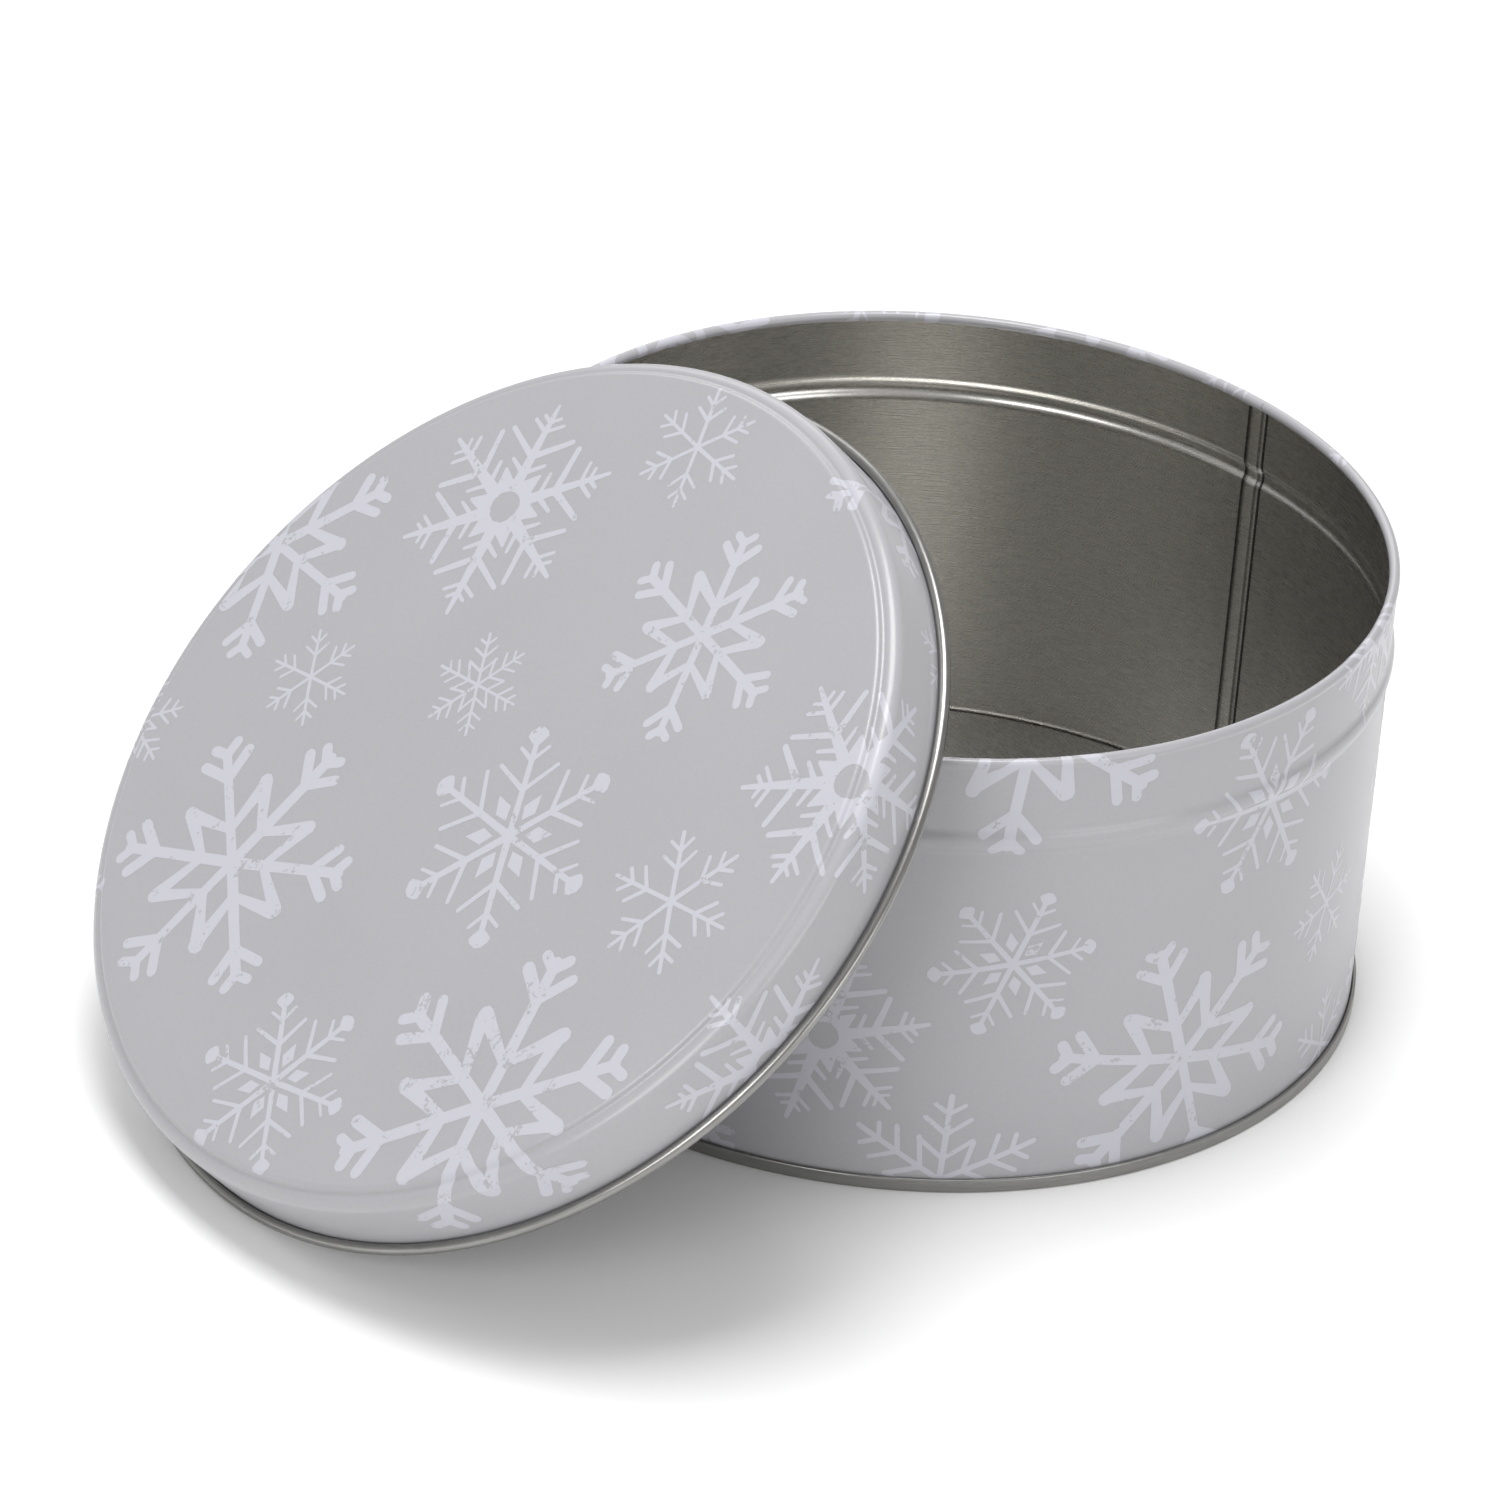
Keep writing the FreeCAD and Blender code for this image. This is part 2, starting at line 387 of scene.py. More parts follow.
# ---- snowflakes: one arm each, along X from the middle, sizes as shares of the flake's radius ----
# A stroke is (from along, from side, to along, to side, width at start, width at end, mirrored).
STROKES = {
    "bold": [
        (0.00, 0.00, 0.92, 0.00, 0.085, 0.080, False),
        (0.69, 0.00, 0.86, 0.175, 0.078, 0.080, True),
        (0.89, 0.00, 0.965, 0.090, 0.078, 0.080, True),
        (0.27, 0.00, 0.525, 0.303, 0.062, 0.105, True),
    ],
    "diamond": [
        (0.00, 0.00, 0.88, 0.00, 0.070, 0.055, False),
        (0.68, 0.00, 0.80, 0.140, 0.042, 0.034, True),
        (0.41, 0.00, 0.64, 0.285, 0.050, 0.042, True),
    ],
    "feather": [
        (0.20, 0.00, 0.98, 0.00, 0.120, 0.040, False),
        (0.32, 0.00, 0.43, 0.180, 0.050, 0.036, True),
        (0.48, 0.00, 0.69, 0.335, 0.066, 0.050, True),
        (0.72, 0.00, 0.81, 0.160, 0.042, 0.036, True),
        (0.81, 0.00, 0.865, 0.090, 0.040, 0.034, True),
    ],
    "twig": [
        (0.00, 0.00, 0.97, 0.00, 0.066, 0.056, False),
        (0.44, 0.00, 0.65, 0.235, 0.058, 0.054, True),
        (0.69, 0.00, 0.84, 0.155, 0.054, 0.052, True),
    ],
    "star": [
        (0.00, 0.00, 0.97, 0.00, 0.056, 0.056, False),
        (0.52, 0.00, 0.70, 0.225, 0.052, 0.048, True),
        (0.75, 0.00, 0.86, 0.150, 0.050, 0.048, True),
        (0.24, 0.00, 0.459, 0.265, 0.050, 0.052, True),
    ],
}
# Filled outlines, as points (along, side).
PATCHES = {
    "diamond": [
        [(0.80, 0.0), (0.86, -0.07), (0.90, -0.105), (0.94, -0.09), (0.985, -0.03),
         (0.985, 0.03), (0.94, 0.09), (0.90, 0.105), (0.86, 0.07)],
        [(0.139, 0.080), (0.271, 0.070), (0.372, 0.215), (0.196, 0.199)],
    ],
    "feather": [
        [(0.128, -0.080), (0.235, -0.160), (0.262, -0.02), (0.262, 0.02), (0.235, 0.160),
         (0.128, 0.080), (0.151, 0.0)],
        [(0.130, 0.060), (0.250, 0.060), (0.345, 0.190), (0.330, 0.205), (0.180, 0.195),
         (0.118, 0.080)],
    ],
}
CAP_POINTS = 5            # on the round end of a stroke
ARMS = 6
LENGTH_PLAY = 0.025       # shares by which arms and strokes are uneven
WIDTH_PLAY = 0.10
TURN_PLAY = 1.5           # degrees
SEED = 12
hand = random.Random(SEED)


def stroke_outline(x0, y0, x1, y1, wide0, wide1):
    """Round-ended stroke as a closed outline, anticlockwise."""
    heading = math.atan2(y1 - y0, x1 - x0)
    outline = []
    for x, y, wide, facing in ((x1, y1, wide1, heading), (x0, y0, wide0, heading + math.pi)):
        for step in range(CAP_POINTS):
            angle = facing - math.pi / 2 + math.pi * step / (CAP_POINTS - 1)
            outline.append((x + wide / 2 * math.cos(angle), y + wide / 2 * math.sin(angle)))
    return outline


def snowflake(kind, x, y, radius, turn):
    """Closed outlines of one flake, anticlockwise, each a little uneven as if cut by hand."""
    outlines = []
    for arm in range(ARMS):
        reach = radius * (1 + hand.uniform(-LENGTH_PLAY, LENGTH_PLAY))
        facing = math.radians(turn + arm * FULL_TURN / ARMS
                              + hand.uniform(-TURN_PLAY, TURN_PLAY))
        shapes = []
        for x0, y0, x1, y1, wide0, wide1, mirrored in STROKES[kind]:
            for side in ((1, -1) if mirrored else (1,)):
                play = 1 + hand.uniform(-WIDTH_PLAY, WIDTH_PLAY)
                grow = 1 + hand.uniform(-LENGTH_PLAY, LENGTH_PLAY)
                shapes.append(stroke_outline(x0, side * y0, x0 + (x1 - x0) * grow,
                                             side * (y0 + (y1 - y0) * grow),
                                             wide0 * play, wide1 * play))
        shapes += PATCHES.get(kind, [])
        cosine, sine = math.cos(facing) * reach, math.sin(facing) * reach
        for shape in shapes:
            outlines.append([(x + px * cosine - py * sine, y + px * sine + py * cosine)
                             for px, py in shape])
    return outlines


def area(outline):
    total = 0.0
    for (x0, y0), (x1, y1) in zip(outline, outline[1:] + outline[:1]):
        total += x0 * y1 - x1 * y0
    return total / 2


def flat_print(outlines, limit):
    """Triangles of the outlines' union inside the limit, as points and index triples."""
    points, faces = [], []
    for outline in [limit] + outlines:
        if area(outline) < 0:
            outline = outline[::-1]
        faces.append(list(range(len(points), len(points) + len(outline))))
        points += outline
    made = delaunay_2d_cdt([Vector(p) for p in points], [], faces, 1, CDT_ROUNDING, True)
    inked = [tuple(face) for face, origin in zip(made[2], made[5])
             if 0 in origin and len(origin) > 1]
    return [tuple(p) for p in made[0]], inked


def split_long(points, triangles, longest):
    """Splits edges that are too long for the bend they lie on, until none is."""
    points = list(points)
    for _ in range(SPLIT_PASSES):
        middles = {}
        for tri in triangles:
            for a, b in zip(tri, tri[1:] + tri[:1]):
                key = (min(a, b), max(a, b))
                if key in middles:
                    continue
                pa, pb = points[a], points[b]
                if math.dist(pa, pb) > longest(pa, pb):
                    middles[key] = len(points)
                    points.append(((pa[0] + pb[0]) / 2, (pa[1] + pb[1]) / 2))
                else:
                    middles[key] = None
        if not any(m is not None for m in middles.values()):
            break
        finer = []
        for tri in triangles:
            finer += split_triangle(tri, middles)
        triangles = finer
    return points, triangles


def split_triangle(tri, middles):
    a, b, c = tri
    ab, bc, ca = (middles[(min(p, q), max(p, q))] for p, q in ((a, b), (b, c), (c, a)))
    cuts = [m is not None for m in (ab, bc, ca)]
    if not any(cuts):
        return [tri]
    if all(cuts):
        return [(a, ab, ca), (ab, b, bc), (ca, bc, c), (ab, bc, ca)]
    while ab is None or (bc is None and ca is not None):
        a, b, c, ab, bc, ca = b, c, a, bc, ca, ab
    if bc is None:
        return [(a, ab, c), (ab, b, c)]
    return [(ab, b, bc), (a, ab, bc), (a, bc, c)]


def ink_piece(name, flakes, wrap, limit, longest, material, pose=None):
    """All flakes of one sheet as closed films of ink: wrap(x, y, lift) puts a flat point on it."""
    vertices, faces, normals, uvs = [], [], [], []
    for flake in flakes:
        points, triangles = flat_print(snowflake(*flake), limit(flake))
        points, triangles = split_long(points, triangles, longest)
        used = sorted({i for tri in triangles for i in tri})
        upper, lower = {}, {}
        for i in used:
            for level, table in ((INK_TOP, upper), (INK_FOOT, lower)):
                place, normal = wrap(points[i], level)
                table[i] = len(vertices)
                vertices.append(place)
                normals.append(normal)
        edges = {}
        for tri in triangles:
            faces.append([upper[i] for i in tri])
            faces.append([lower[i] for i in reversed(tri)])
            uvs += [[points[i] for i in tri], [points[i] for i in reversed(tri)]]
            for a, b in zip(tri, tri[1:] + tri[:1]):
                edges[(a, b)] = True
        for a, b in edges:
            if (b, a) not in edges:
                faces.append([upper[b], upper[a], lower[a], lower[b]])
                uvs.append([points[b], points[a], points[a], points[b]])
    slots = [0] * len(faces)
    return add_object(name, vertices, faces, normals, slots, uvs, [material], pose)


# kind, azimuth in degrees, height, radius, turn in degrees
WALL_FLAKES = [
    ("bold", -112.3, 109.1, 30.7, 23.2),
    ("diamond", -77.3, 78.8, 20.9, -2.0),
    ("diamond", -112.3, 53.4, 17.6, 9.1),
    ("bold", -88.0, 24.5, 29.6, 47.5),
    ("twig", -61.4, 43.4, 13.2, 6.7),
    ("star", -118.9, 2.7, 20.9, 25.4),
    ("feather", -53.5, 100.8, 19.7, 14.5),
    ("twig", -57.7, 6.2, 14.3, 29.9),
    ("feather", -134.5, 34.0, 21.6, 13.4),
    ("twig", -137.9, 74.7, 14.4, 31.5),
    ("bold", 37.0, 84.0, 28.0, 6.0),
    ("diamond", -35.0, 62.0, 19.0, 14.0),
    ("bold", -33.0, 19.0, 25.0, 20.0),
    ("star", -16.0, 44.0, 12.5, 5.0),
    ("feather", -8.0, 84.0, 21.0, 24.0),
    ("twig", 11.0, 60.0, 13.0, 40.0),
    ("diamond", 14.0, 94.0, 13.0, 50.0),
    ("bold", 3.0, 22.0, 27.0, 33.0),
    ("feather", 34.0, 34.0, 22.0, 4.0),
    ("star", 53.0, 58.0, 13.0, 20.0),
    ("diamond", 64.0, 88.0, 19.0, 9.0),
    ("bold", 63.0, 21.0, 26.0, 12.0),
    ("twig", 83.0, 55.0, 13.5, 30.0),
    ("bold", 94.0, 92.0, 28.0, 28.0),
    ("feather", 92.0, 15.0, 21.0, 20.0),
    ("diamond", 108.0, 50.0, 18.0, 3.0),
    ("star", 120.0, 80.0, 14.0, 40.0),
    ("bold", 122.0, 19.0, 28.0, 50.0),
    ("feather", 139.0, 62.0, 22.0, 10.0),
    ("twig", 147.0, 30.0, 14.0, 15.0),
    ("diamond", 157.0, 92.0, 19.0, 22.0),
    ("bold", 169.0, 50.0, 29.0, 37.0),
    ("star", 153.0, 6.0, 16.0, 18.0),
    ("twig", 185.0, 86.0, 14.0, 8.0),
    ("feather", 182.0, 14.0, 20.0, 50.0),
    ("diamond", 199.0, 60.0, 18.0, 30.0),
    ("bold", 207.0, 97.0, 27.0, 5.0),
    ("bold", 204.0, 18.0, 24.0, 15.0),
]
# kind, x and y on the flat sheet before it was drawn, radius, turn in degrees
LID_FLAKES = [
    ("bold", -46.6, 36.6, 30.7, -4.1),
    ("twig", -8.5, 55.5, 11.5, 40.9),
    ("star", 12.5, 17.2, 12.0, 37.8),
    ("feather", 42.9, 45.8, 24.7, 18.1),
    ("twig", 76.8, 15.0, 14.1, 27.2),
    ("diamond", -5.6, -18.1, 24.7, 33.8),
    ("diamond", -72.3, -14.2, 20.3, 44.5),
    ("bold", 48.9, -21.6, 23.5, 24.7),
    ("bold", -47.6, -61.9, 33.5, 20.6),
    ("twig", 5.9, -63.7, 16.1, 40.8),
    ("feather", 45.9, -78.5, 25.2, 5.8),
    ("bold", 7.2, 89.2, 26.7, 30.5),
    ("star", -39.4, 86.8, 12.7, 15.5),
    ("bold", 108.1, -29.0, 24.3, 49.1),
    ("feather", -5.4, -113.9, 25.8, 23.9),
    ("twig", 93.6, -70.8, 12.5, 11.4),
    ("diamond", 97.2, 56.9, 19.2, 15.1),
    ("twig", 56.5, 96.6, 13.5, 35.6),
    ("diamond", -77.7, 73.8, 17.0, 9.8),
]

printed_line = printed_wall_line()
printed_lengths = printed_line.lengths()
WALL_PRINT_FOOT = 2.9
WALL_PRINT_SHORT = 0.3    # the print stops this far from the rolled rim's own edge
WALL_PRINT_TOP = BODY_HOOK_BEND + printed_lengths[-1] - WALL_PRINT_SHORT
BEAD_FINE_LOW = BEAD_MIDDLE - BEAD_WIDTH / 2 - 0.3     # the print is fine from here
BEAD_FINE_HIGH = BEAD_MIDDLE + BEAD_WIDTH / 2 + 0.8    # to here
RIM_FINE_LOW = FLARE_START - 0.5


def wrap_wall(point, lift):
    """Flat print to wall: x runs round the wall, y up it and on round the rolled rim."""
    r, z, heading = printed_line.at(point[1] - BODY_HOOK_BEND, printed_lengths)
    azimuth = point[0] / WALL_RADIUS
    angle = math.radians(heading)
    nr, nz = math.sin(angle), -math.cos(angle)
    out = HALF + lift
    place = ((r + nr * out) * math.cos(azimuth), (r + nr * out) * math.sin(azimuth), z + nz * out)
    return place, (nr * math.cos(azimuth), nr * math.sin(azimuth), nz)


def wall_limit(flake):
    left, right = flake[1] - 2 * flake[3], flake[1] + 2 * flake[3]
    return [(left, WALL_PRINT_FOOT), (right, WALL_PRINT_FOOT), (right, WALL_PRINT_TOP),
            (left, WALL_PRINT_TOP)]


def wall_edge(a, b):
    low, high = min(a[1], b[1]), max(a[1], b[1])
    if high > RIM_FINE_LOW:
        return PRINT_RIM_BEND
    if high > BEAD_FINE_LOW and low < BEAD_FINE_HIGH:
        return PRINT_FINE_BEND
    return PRINT_FLAT


drawn_line = lid_line()
drawn_lengths = drawn_line.lengths()
LID_FINE_START = LID_SKIRT_RADIUS - LID_CROWN_RADIUS - 3.0    # the print is fine from here
LID_FINE_END = 98.0                                           # to here
LID_PRINT_SHORT = 1.0     # the print stops this far above the rolled edge
lid_print_end = (drawn_lengths[-1] - math.radians(LID_TURN) * (LID_TUBE_RADIUS - HALF)
                 - LID_PRINT_SHORT)
LID_PRINT_EDGE = LID_SKIRT_RADIUS + (lid_print_end - LID_SKIRT_RADIUS) * SKIRT_STRETCH
LIMIT_POINTS = 180


def wrap_lid(point, lift):
    """Flat print to lid, along the sheet from its middle, squeezed where it was drawn down."""
    distance = math.hypot(*point)
    azimuth = math.atan2(point[1], point[0])
    if distance > LID_SKIRT_RADIUS:
        distance = LID_SKIRT_RADIUS + (distance - LID_SKIRT_RADIUS) / SKIRT_STRETCH
    r, z, heading = drawn_line.at(distance, drawn_lengths)
    angle = math.radians(heading)
    nr, nz = -math.sin(angle), math.cos(angle)
    out = HALF + lift
    place = ((r + nr * out) * math.cos(azimuth), (r + nr * out) * math.sin(azimuth), z + nz * out)
    return place, (nr * math.cos(azimuth), nr * math.sin(azimuth), nz)


def lid_limit(flake):
    return [(LID_PRINT_EDGE * math.cos(math.tau * i / LIMIT_POINTS),
             LID_PRINT_EDGE * math.sin(math.tau * i / LIMIT_POINTS))
            for i in range(LIMIT_POINTS)]


def lid_edge(a, b):
    near, far = sorted((math.hypot(*a), math.hypot(*b)))
    if far <= LID_FINE_START:
        return PRINT_FLAT
    return PRINT_FINE_BEND if near < LID_FINE_END else PRINT_SKIRT


# ---- materials ----
MIX_FIRST, MIX_SECOND, MIX_RESULT = 6, 7, 2    # the mix node's colour sockets


class Nodes:
    """A new material with one Principled shader, and short ways to add and join nodes."""

    def __init__(self, name):
        self.material = bpy.data.materials.new(name)
        self.material.use_nodes = True
        self.tree = self.material.node_tree
        self.shader = next(n for n in self.tree.nodes if n.type == "BSDF_PRINCIPLED")

    def add(self, kind, inputs=None, **settings):
        node = self.tree.nodes.new(kind)
        for key, value in settings.items():
            setattr(node, key, value)
        for key, value in (inputs or {}).items():
            if isinstance(value, bpy.types.NodeSocket):
                self.tree.links.new(value, node.inputs[key])
            else:
                node.inputs[key].default_value = value
        return node

    def set(self, **values):
        for key, value in values.items():
            socket = self.shader.inputs[key.replace("_", " ")]
            if isinstance(value, bpy.types.NodeSocket):
                self.tree.links.new(value, socket)
            else:
                socket.default_value = value

    def noise(self, coordinates, scale, stretch=(1, 1, 1), detail=2.0, roughness=0.5):
        mapping = self.add("ShaderNodeMapping", {"Vector": coordinates, "Scale": stretch})
        texture = self.add("ShaderNodeTexNoise", {"Vector": mapping.outputs[0], "Scale": scale,
                                                  "Detail": detail, "Roughness": roughness})
        return texture.outputs["Fac"]

    def ramp(self, factor, low, high, low_at=0.3, high_at=0.7):
        node = self.add("ShaderNodeValToRGB", {"Fac": factor})
        first, last = node.color_ramp.elements
        first.position, last.position = low_at, high_at
        first.color, last.color = (*low, 1), (*high, 1)
        return node.outputs["Color"]

    def span(self, factor, low, high, low_at=0.3, high_at=0.7):
        node = self.add("ShaderNodeMapRange", {"Value": factor, "From Min": low_at,
                                               "From Max": high_at, "To Min": low,
                                               "To Max": high})
        return node.outputs["Result"]

    def mix(self, factor, first, second, blend="MIX"):
        """Mix of two colour sockets, by a number or a socket."""
        inputs = {"Factor": factor, MIX_FIRST: first, MIX_SECOND: second}
        node = self.add("ShaderNodeMix", inputs, data_type="RGBA", blend_type=blend)
        return node.outputs[MIX_RESULT]

    def bump(self, height, depth, strength=1.0, over=None):
        inputs = {"Height": height, "Distance": depth, "Strength": strength}
        if over is not None:
            inputs["Normal"] = over
        return self.add("ShaderNodeBump", inputs).outputs["Normal"]


LACQUER = (0.342, 0.340, 0.358)
LACQUER_PALE = (0.366, 0.364, 0.382)
INK = (0.470, 0.466, 0.515)
INK_WORN = (0.350, 0.350, 0.370)
TIN = (0.640, 0.628, 0.600)
TIN_DARK = (0.600, 0.589, 0.562)
# The bare edge tin is the same tinplate as the wall's, painted darker as painted shade on the lid's
# underside and rolled edge and on the bottom's underside and seam ring.
PAINTED_SHADE_EDGE_TIN = (0.330, 0.327, 0.315)
PAINTED_SHADE_EDGE_TIN_DARK = (0.240, 0.237, 0.228)
TIN_ROUGHNESS = 0.27
EDGE_ROUGHNESS = 0.30
# Noise scales are per metre, bump depths in metres.
PEEL_SCALE, PEEL_DEPTH = 900.0, 0.000012
LACQUER_GRAIN, LACQUER_CLOUD, CLOUD_SHARE = 1500.0, 22.0, 0.45
WEAR_SCALE, WEAR_PATCH = 1100.0, 190.0
WORN_FROM, WORN_TO = 0.345, 0.380
GRAIN_SCALE, BROAD_GRAIN_SCALE, TIN_CLOUD = 3200.0, 900.0, 60.0
GRAIN_DEPTH = 0.000002
GRAIN_SMOOTHER, GRAIN_ROUGHER = 0.03, 0.04     # how far the grain moves the roughness
CLOUD_LOW, CLOUD_HIGH = 0.25, 0.75
# Grain is drawn out along one direction of the coordinates that a material uses.
GRAIN_ROUND = (0.06, 1.0, 1.0)
GRAIN_UP = (1.0, 0.06, 1.0)
GRAIN_EDGE = (0.08, 1.0, 1.0)
TABLE_CLOUD = 6.0
TABLE_LOW, TABLE_HIGH = (0.90, 0.90, 0.90), (0.92, 0.92, 0.92)


def lacquer_finish(nodes, place):
    """Varnish over the print: a satin coat with a fine orange-peel surface."""
    peel = nodes.noise(place, PEEL_SCALE, detail=3.0)
    nodes.set(Normal=nodes.bump(peel, PEEL_DEPTH, strength=0.5))
    nodes.set(Metallic=0.0, IOR=1.5, Coat_Weight=0.35, Coat_Roughness=0.16)


def silver_lacquer():
    nodes = Nodes("silver_lacquer")
    place = nodes.add("ShaderNodeTexCoord").outputs["Object"]
    grain = nodes.noise(place, LACQUER_GRAIN)
    cloud = nodes.noise(place, LACQUER_CLOUD, detail=3.0)
    speckle = nodes.ramp(grain, LACQUER, LACQUER_PALE)
    tint = nodes.ramp(cloud, LACQUER, LACQUER_PALE)
    nodes.set(Base_Color=nodes.mix(CLOUD_SHARE, speckle, tint),
              Roughness=nodes.span(cloud, 0.34, 0.42))
    lacquer_finish(nodes, place)
    return nodes.material


def white_ink():
    nodes = Nodes("white_ink")
    place = nodes.add("ShaderNodeTexCoord").outputs["Object"]
    wear = nodes.noise(place, WEAR_SCALE, detail=4.0, roughness=0.65)
    patch = nodes.noise(place, WEAR_PATCH)
    worn = nodes.add("ShaderNodeMath", {0: wear, 1: patch}, operation="MULTIPLY").outputs[0]
    colour = nodes.ramp(worn, INK, INK_WORN, WORN_FROM, WORN_TO)
    nodes.set(Base_Color=colour, Roughness=nodes.span(wear, 0.33, 0.43))
    lacquer_finish(nodes, place)
    return nodes.material


# Tone of the side seam across its width, in millimetres from its middle: gap, lip, gap, fold, gap;
# the gaps are painted shade and the fold a painted highlight.
SEAM_PAINTED_SHADE_AND_HIGHLIGHT = [
    (-3.30, 0.10), (-2.80, 0.15), (-2.60, 0.9), (-2.35, 0.9), (-2.10, 0.35), (-1.80, 0.35),
    (-1.50, 1.2), (0.60, 1.2), (1.50, 0.25), (2.25, 0.12),
]
# Tone of the bottom along its sheet from the middle: the panel, then the narrow gap round it,
# darkened as painted shade.
PANEL_PAINTED_GAP_SHADE = [(0.0, 1.0), (92.5, 1.0), (93.1, 0.22), (100.0, 0.22)]


def paint_shade_and_highlight(nodes, colour, painted_tones):
    """The colour made darker or lighter along V of the sheet's own coordinates, as painted shade
    and painted highlight.
    """
    along = nodes.add("ShaderNodeSeparateXYZ",
                      {0: nodes.add("ShaderNodeTexCoord").outputs["UV"]}).outputs["Y"]
    first, last = painted_tones[0][0], painted_tones[-1][0]
    ramp = nodes.add("ShaderNodeValToRGB",
                     {"Fac": nodes.span(along, 0.0, 1.0, first * MM, last * MM)})
    stops = ramp.color_ramp.elements
    while len(stops) < len(painted_tones):
        stops.new(0.5)
    for stop, (place, tone) in zip(stops, painted_tones):
        stop.position = (place - first) / (last - first)
        stop.color = (tone, tone, tone, 1)
    nodes.set(Base_Color=nodes.mix(1.0, colour, ramp.outputs["Color"], "MULTIPLY"))
    return nodes.material


def tin_grain(name, pale, dark, coordinate, stretch, roughness):
    """Bare tinplate: fine rolling grain along the sheet, with a faint cloudy tin surface.

    Gives the nodes and the colour socket, so that painted shade and highlight can be laid over the
    colour.
    """
    nodes = Nodes(name)
    place = nodes.add("ShaderNodeTexCoord").outputs[coordinate]
    lines = nodes.noise(place, GRAIN_SCALE, stretch, detail=4.0, roughness=0.6)
    broad = nodes.noise(place, BROAD_GRAIN_SCALE, stretch)
    cloud = nodes.noise(place, TIN_CLOUD, detail=3.0)
    colour = nodes.mix(nodes.span(cloud, CLOUD_LOW, CLOUD_HIGH),
                       nodes.ramp(lines, dark, pale), nodes.ramp(broad, dark, pale))
    nodes.set(Base_Color=colour, Metallic=1.0,
              Roughness=nodes.span(lines, roughness - GRAIN_SMOOTHER,
                                   roughness + GRAIN_ROUGHER))
    fine = nodes.bump(lines, GRAIN_DEPTH, strength=0.4)
    nodes.set(Normal=nodes.bump(broad, GRAIN_DEPTH, strength=0.3, over=fine))
    return nodes, colour


def table_finish():
    nodes = Nodes("pale_table")
    place = nodes.add("ShaderNodeTexCoord").outputs["Object"]
    cloud = nodes.noise(place, TABLE_CLOUD)
    nodes.set(Base_Color=nodes.ramp(cloud, TABLE_LOW, TABLE_HIGH), Roughness=0.9)
    return nodes.material


lacquer = silver_lacquer()
ink = white_ink()
wall_nodes, _ = tin_grain("rolled_tinplate", TIN, TIN_DARK, "UV", GRAIN_ROUND,
                          TIN_ROUGHNESS)
wall_tin = wall_nodes.material
# The side seam's gaps are darkened as painted shade and its fold is lightened as a painted
# highlight.
seam_tin_painted_shade_highlight = paint_shade_and_highlight(*tin_grain("folded_tinplate_painted_shade_highlight", TIN, TIN_DARK, "UV", GRAIN_UP,
                            TIN_ROUGHNESS), SEAM_PAINTED_SHADE_AND_HIGHLIGHT)
# The narrow gap round the bottom's panel is darkened as painted shade.
panel_tin_painted_gap_shade = paint_shade_and_highlight(*tin_grain("bottom_tinplate_painted_gap_shade", TIN, TIN_DARK, "Object", GRAIN_UP,
                             TIN_ROUGHNESS), PANEL_PAINTED_GAP_SHADE)
# A darker copy of the bare tinplate, as painted shade.
painted_shade_edge_nodes, _ = tin_grain("bare_edge_tinplate_painted_shade", PAINTED_SHADE_EDGE_TIN, PAINTED_SHADE_EDGE_TIN_DARK, "UV", GRAIN_EDGE,
                          EDGE_ROUGHNESS)
painted_shade_edge_tin = painted_shade_edge_nodes.material

# ---- the pieces ----
leaning = lid_pose()
side_wall = sheet_piece("box_side_wall", wall_line(), 0, 1, [wall_tin, lacquer])
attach(side_wall, "box")
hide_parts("side_wall")

lap_turn = math.degrees(RIM_LAP_WIDTH / WALL_RADIUS)
rim_lap = sheet_piece("box_rim_lap", rim_lap_line(), 0, 1, [wall_tin, lacquer],
                      start=LOCK_AZIMUTH - lap_turn / 2, sweep=lap_turn, segments=LAP_SEGMENTS)
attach(rim_lap, "box")

side_seam = lock_seam("box_side_seam", seam_tin_painted_shade_highlight)
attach(side_seam, "box")

bottom_end = sheet_piece("box_bottom_end", bottom_line(), 0, 1, [panel_tin_painted_gap_shade, painted_shade_edge_tin])
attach(bottom_end, "box")
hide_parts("bottom_end")

lid = sheet_piece("lid_shell", lid_line(), 0, 1, [lacquer, painted_shade_edge_tin], pose=leaning)
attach(lid, "lid")
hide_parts("lid")

unrolled_flakes = [(kind, math.radians(azimuth) * WALL_RADIUS, height, radius, turn)
                   for kind, azimuth, height, radius, turn in WALL_FLAKES]
wall_print = ink_piece("box_snowflake_print", unrolled_flakes, wrap_wall, wall_limit, wall_edge,
                       ink)
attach(wall_print, "box")

lid_print = ink_piece("lid_snowflake_print", LID_FLAKES, wrap_lid, lid_limit, lid_edge, ink,
                      pose=leaning)
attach(lid_print, "lid")


# ---- floor, light and camera ----
FLOOR_SIZE = 6000.0
FLOOR_BELOW = 0.02        # the floor is this far under the tin's foot
LIT_POINT = (0, 0, 50)
WORLD_STRENGTH = 0.5
# name, place, size, watts
SOFTBOXES = [
    ("overhead", (0, 100, 1600), (800, 800), 19),
    ("front", (-1700, -900, 1000), (1000, 800), 14),
    ("fill", (300, -1800, 450), (1000, 600), 5.5),
    ("rear", (500, 1200, 900), (1200, 500), 4),
]


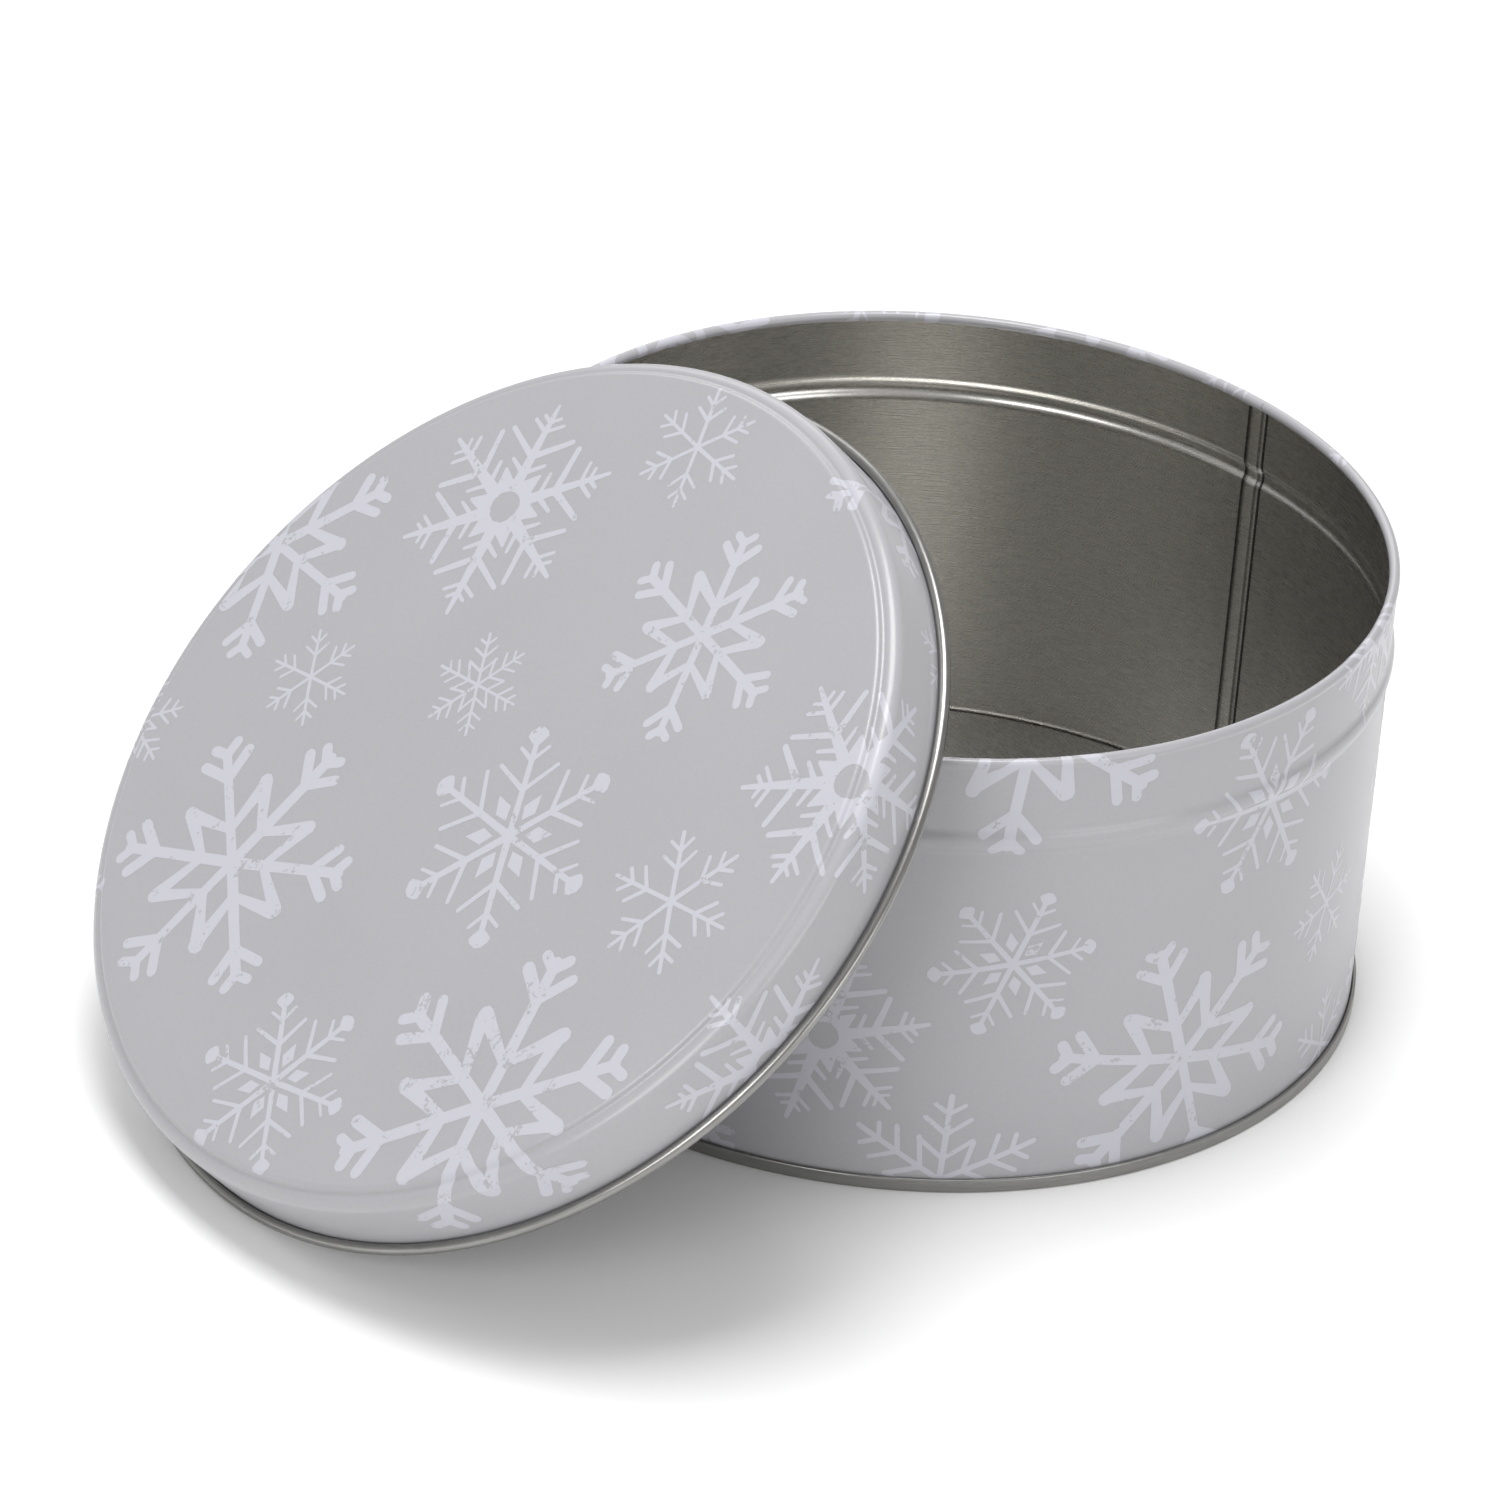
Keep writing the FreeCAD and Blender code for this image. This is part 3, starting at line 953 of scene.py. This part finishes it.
def floor():
    half = FLOOR_SIZE / 2
    corners = [(-half, -half, -FLOOR_BELOW), (half, -half, -FLOOR_BELOW),
               (half, half, -FLOOR_BELOW), (-half, half, -FLOOR_BELOW)]
    piece = add_object("table", corners, [[0, 1, 2, 3]], None, [0], [[(0, 0)] * 4],
                       [table_finish()])


def softbox(name, place, size, power):
    data = bpy.data.lights.new(name, "AREA")
    data.shape = "RECTANGLE"
    data.size, data.size_y = size[0] * MM, size[1] * MM
    data.energy = power
    lamp = bpy.data.objects.new(name, data)
    bpy.context.scene.collection.objects.link(lamp)
    lamp.location = Vector(place) * MM
    lamp.rotation_mode = "QUATERNION"
    lamp.rotation_quaternion = (Vector(LIT_POINT) - Vector(place)).to_track_quat("-Z", "Y")


def studio():
    world = bpy.data.worlds.new("studio")
    bpy.context.scene.world = world
    world.use_nodes = True
    background = next(n for n in world.node_tree.nodes if n.type == "BACKGROUND")
    background.inputs["Color"].default_value = (1.0, 1.0, 1.0, 1)
    background.inputs["Strength"].default_value = WORLD_STRENGTH
    for name, place, size, power in SOFTBOXES:
        softbox(name, place, size, power)
    bpy.context.scene.view_settings.view_transform = "Standard"


CAMERA_PLACE = (-952.5, -1312.9, 994.3)
CAMERA_AIM = (-34.7, 11.1, 50.0)
CAMERA_ROLL = 4.47
CAMERA_LENS = 218.3
SENSOR = 36.0
CLIP_START, CLIP_END = 0.05, 30.0    # metres


def camera():
    data = bpy.data.cameras.new("camera")
    data.lens = CAMERA_LENS
    data.sensor_width = SENSOR
    data.clip_start, data.clip_end = CLIP_START, CLIP_END
    view = bpy.data.objects.new("camera", data)
    bpy.context.scene.collection.objects.link(view)
    place, aim = Vector(CAMERA_PLACE) * MM, Vector(CAMERA_AIM) * MM
    view.location = place
    view.rotation_mode = "QUATERNION"
    level = (aim - place).to_track_quat("-Z", "Y")
    roll = Matrix.Rotation(math.radians(CAMERA_ROLL), 4, "Z").to_quaternion()
    view.rotation_quaternion = level @ roll
    bpy.context.scene.camera = view


floor()
studio()
camera()
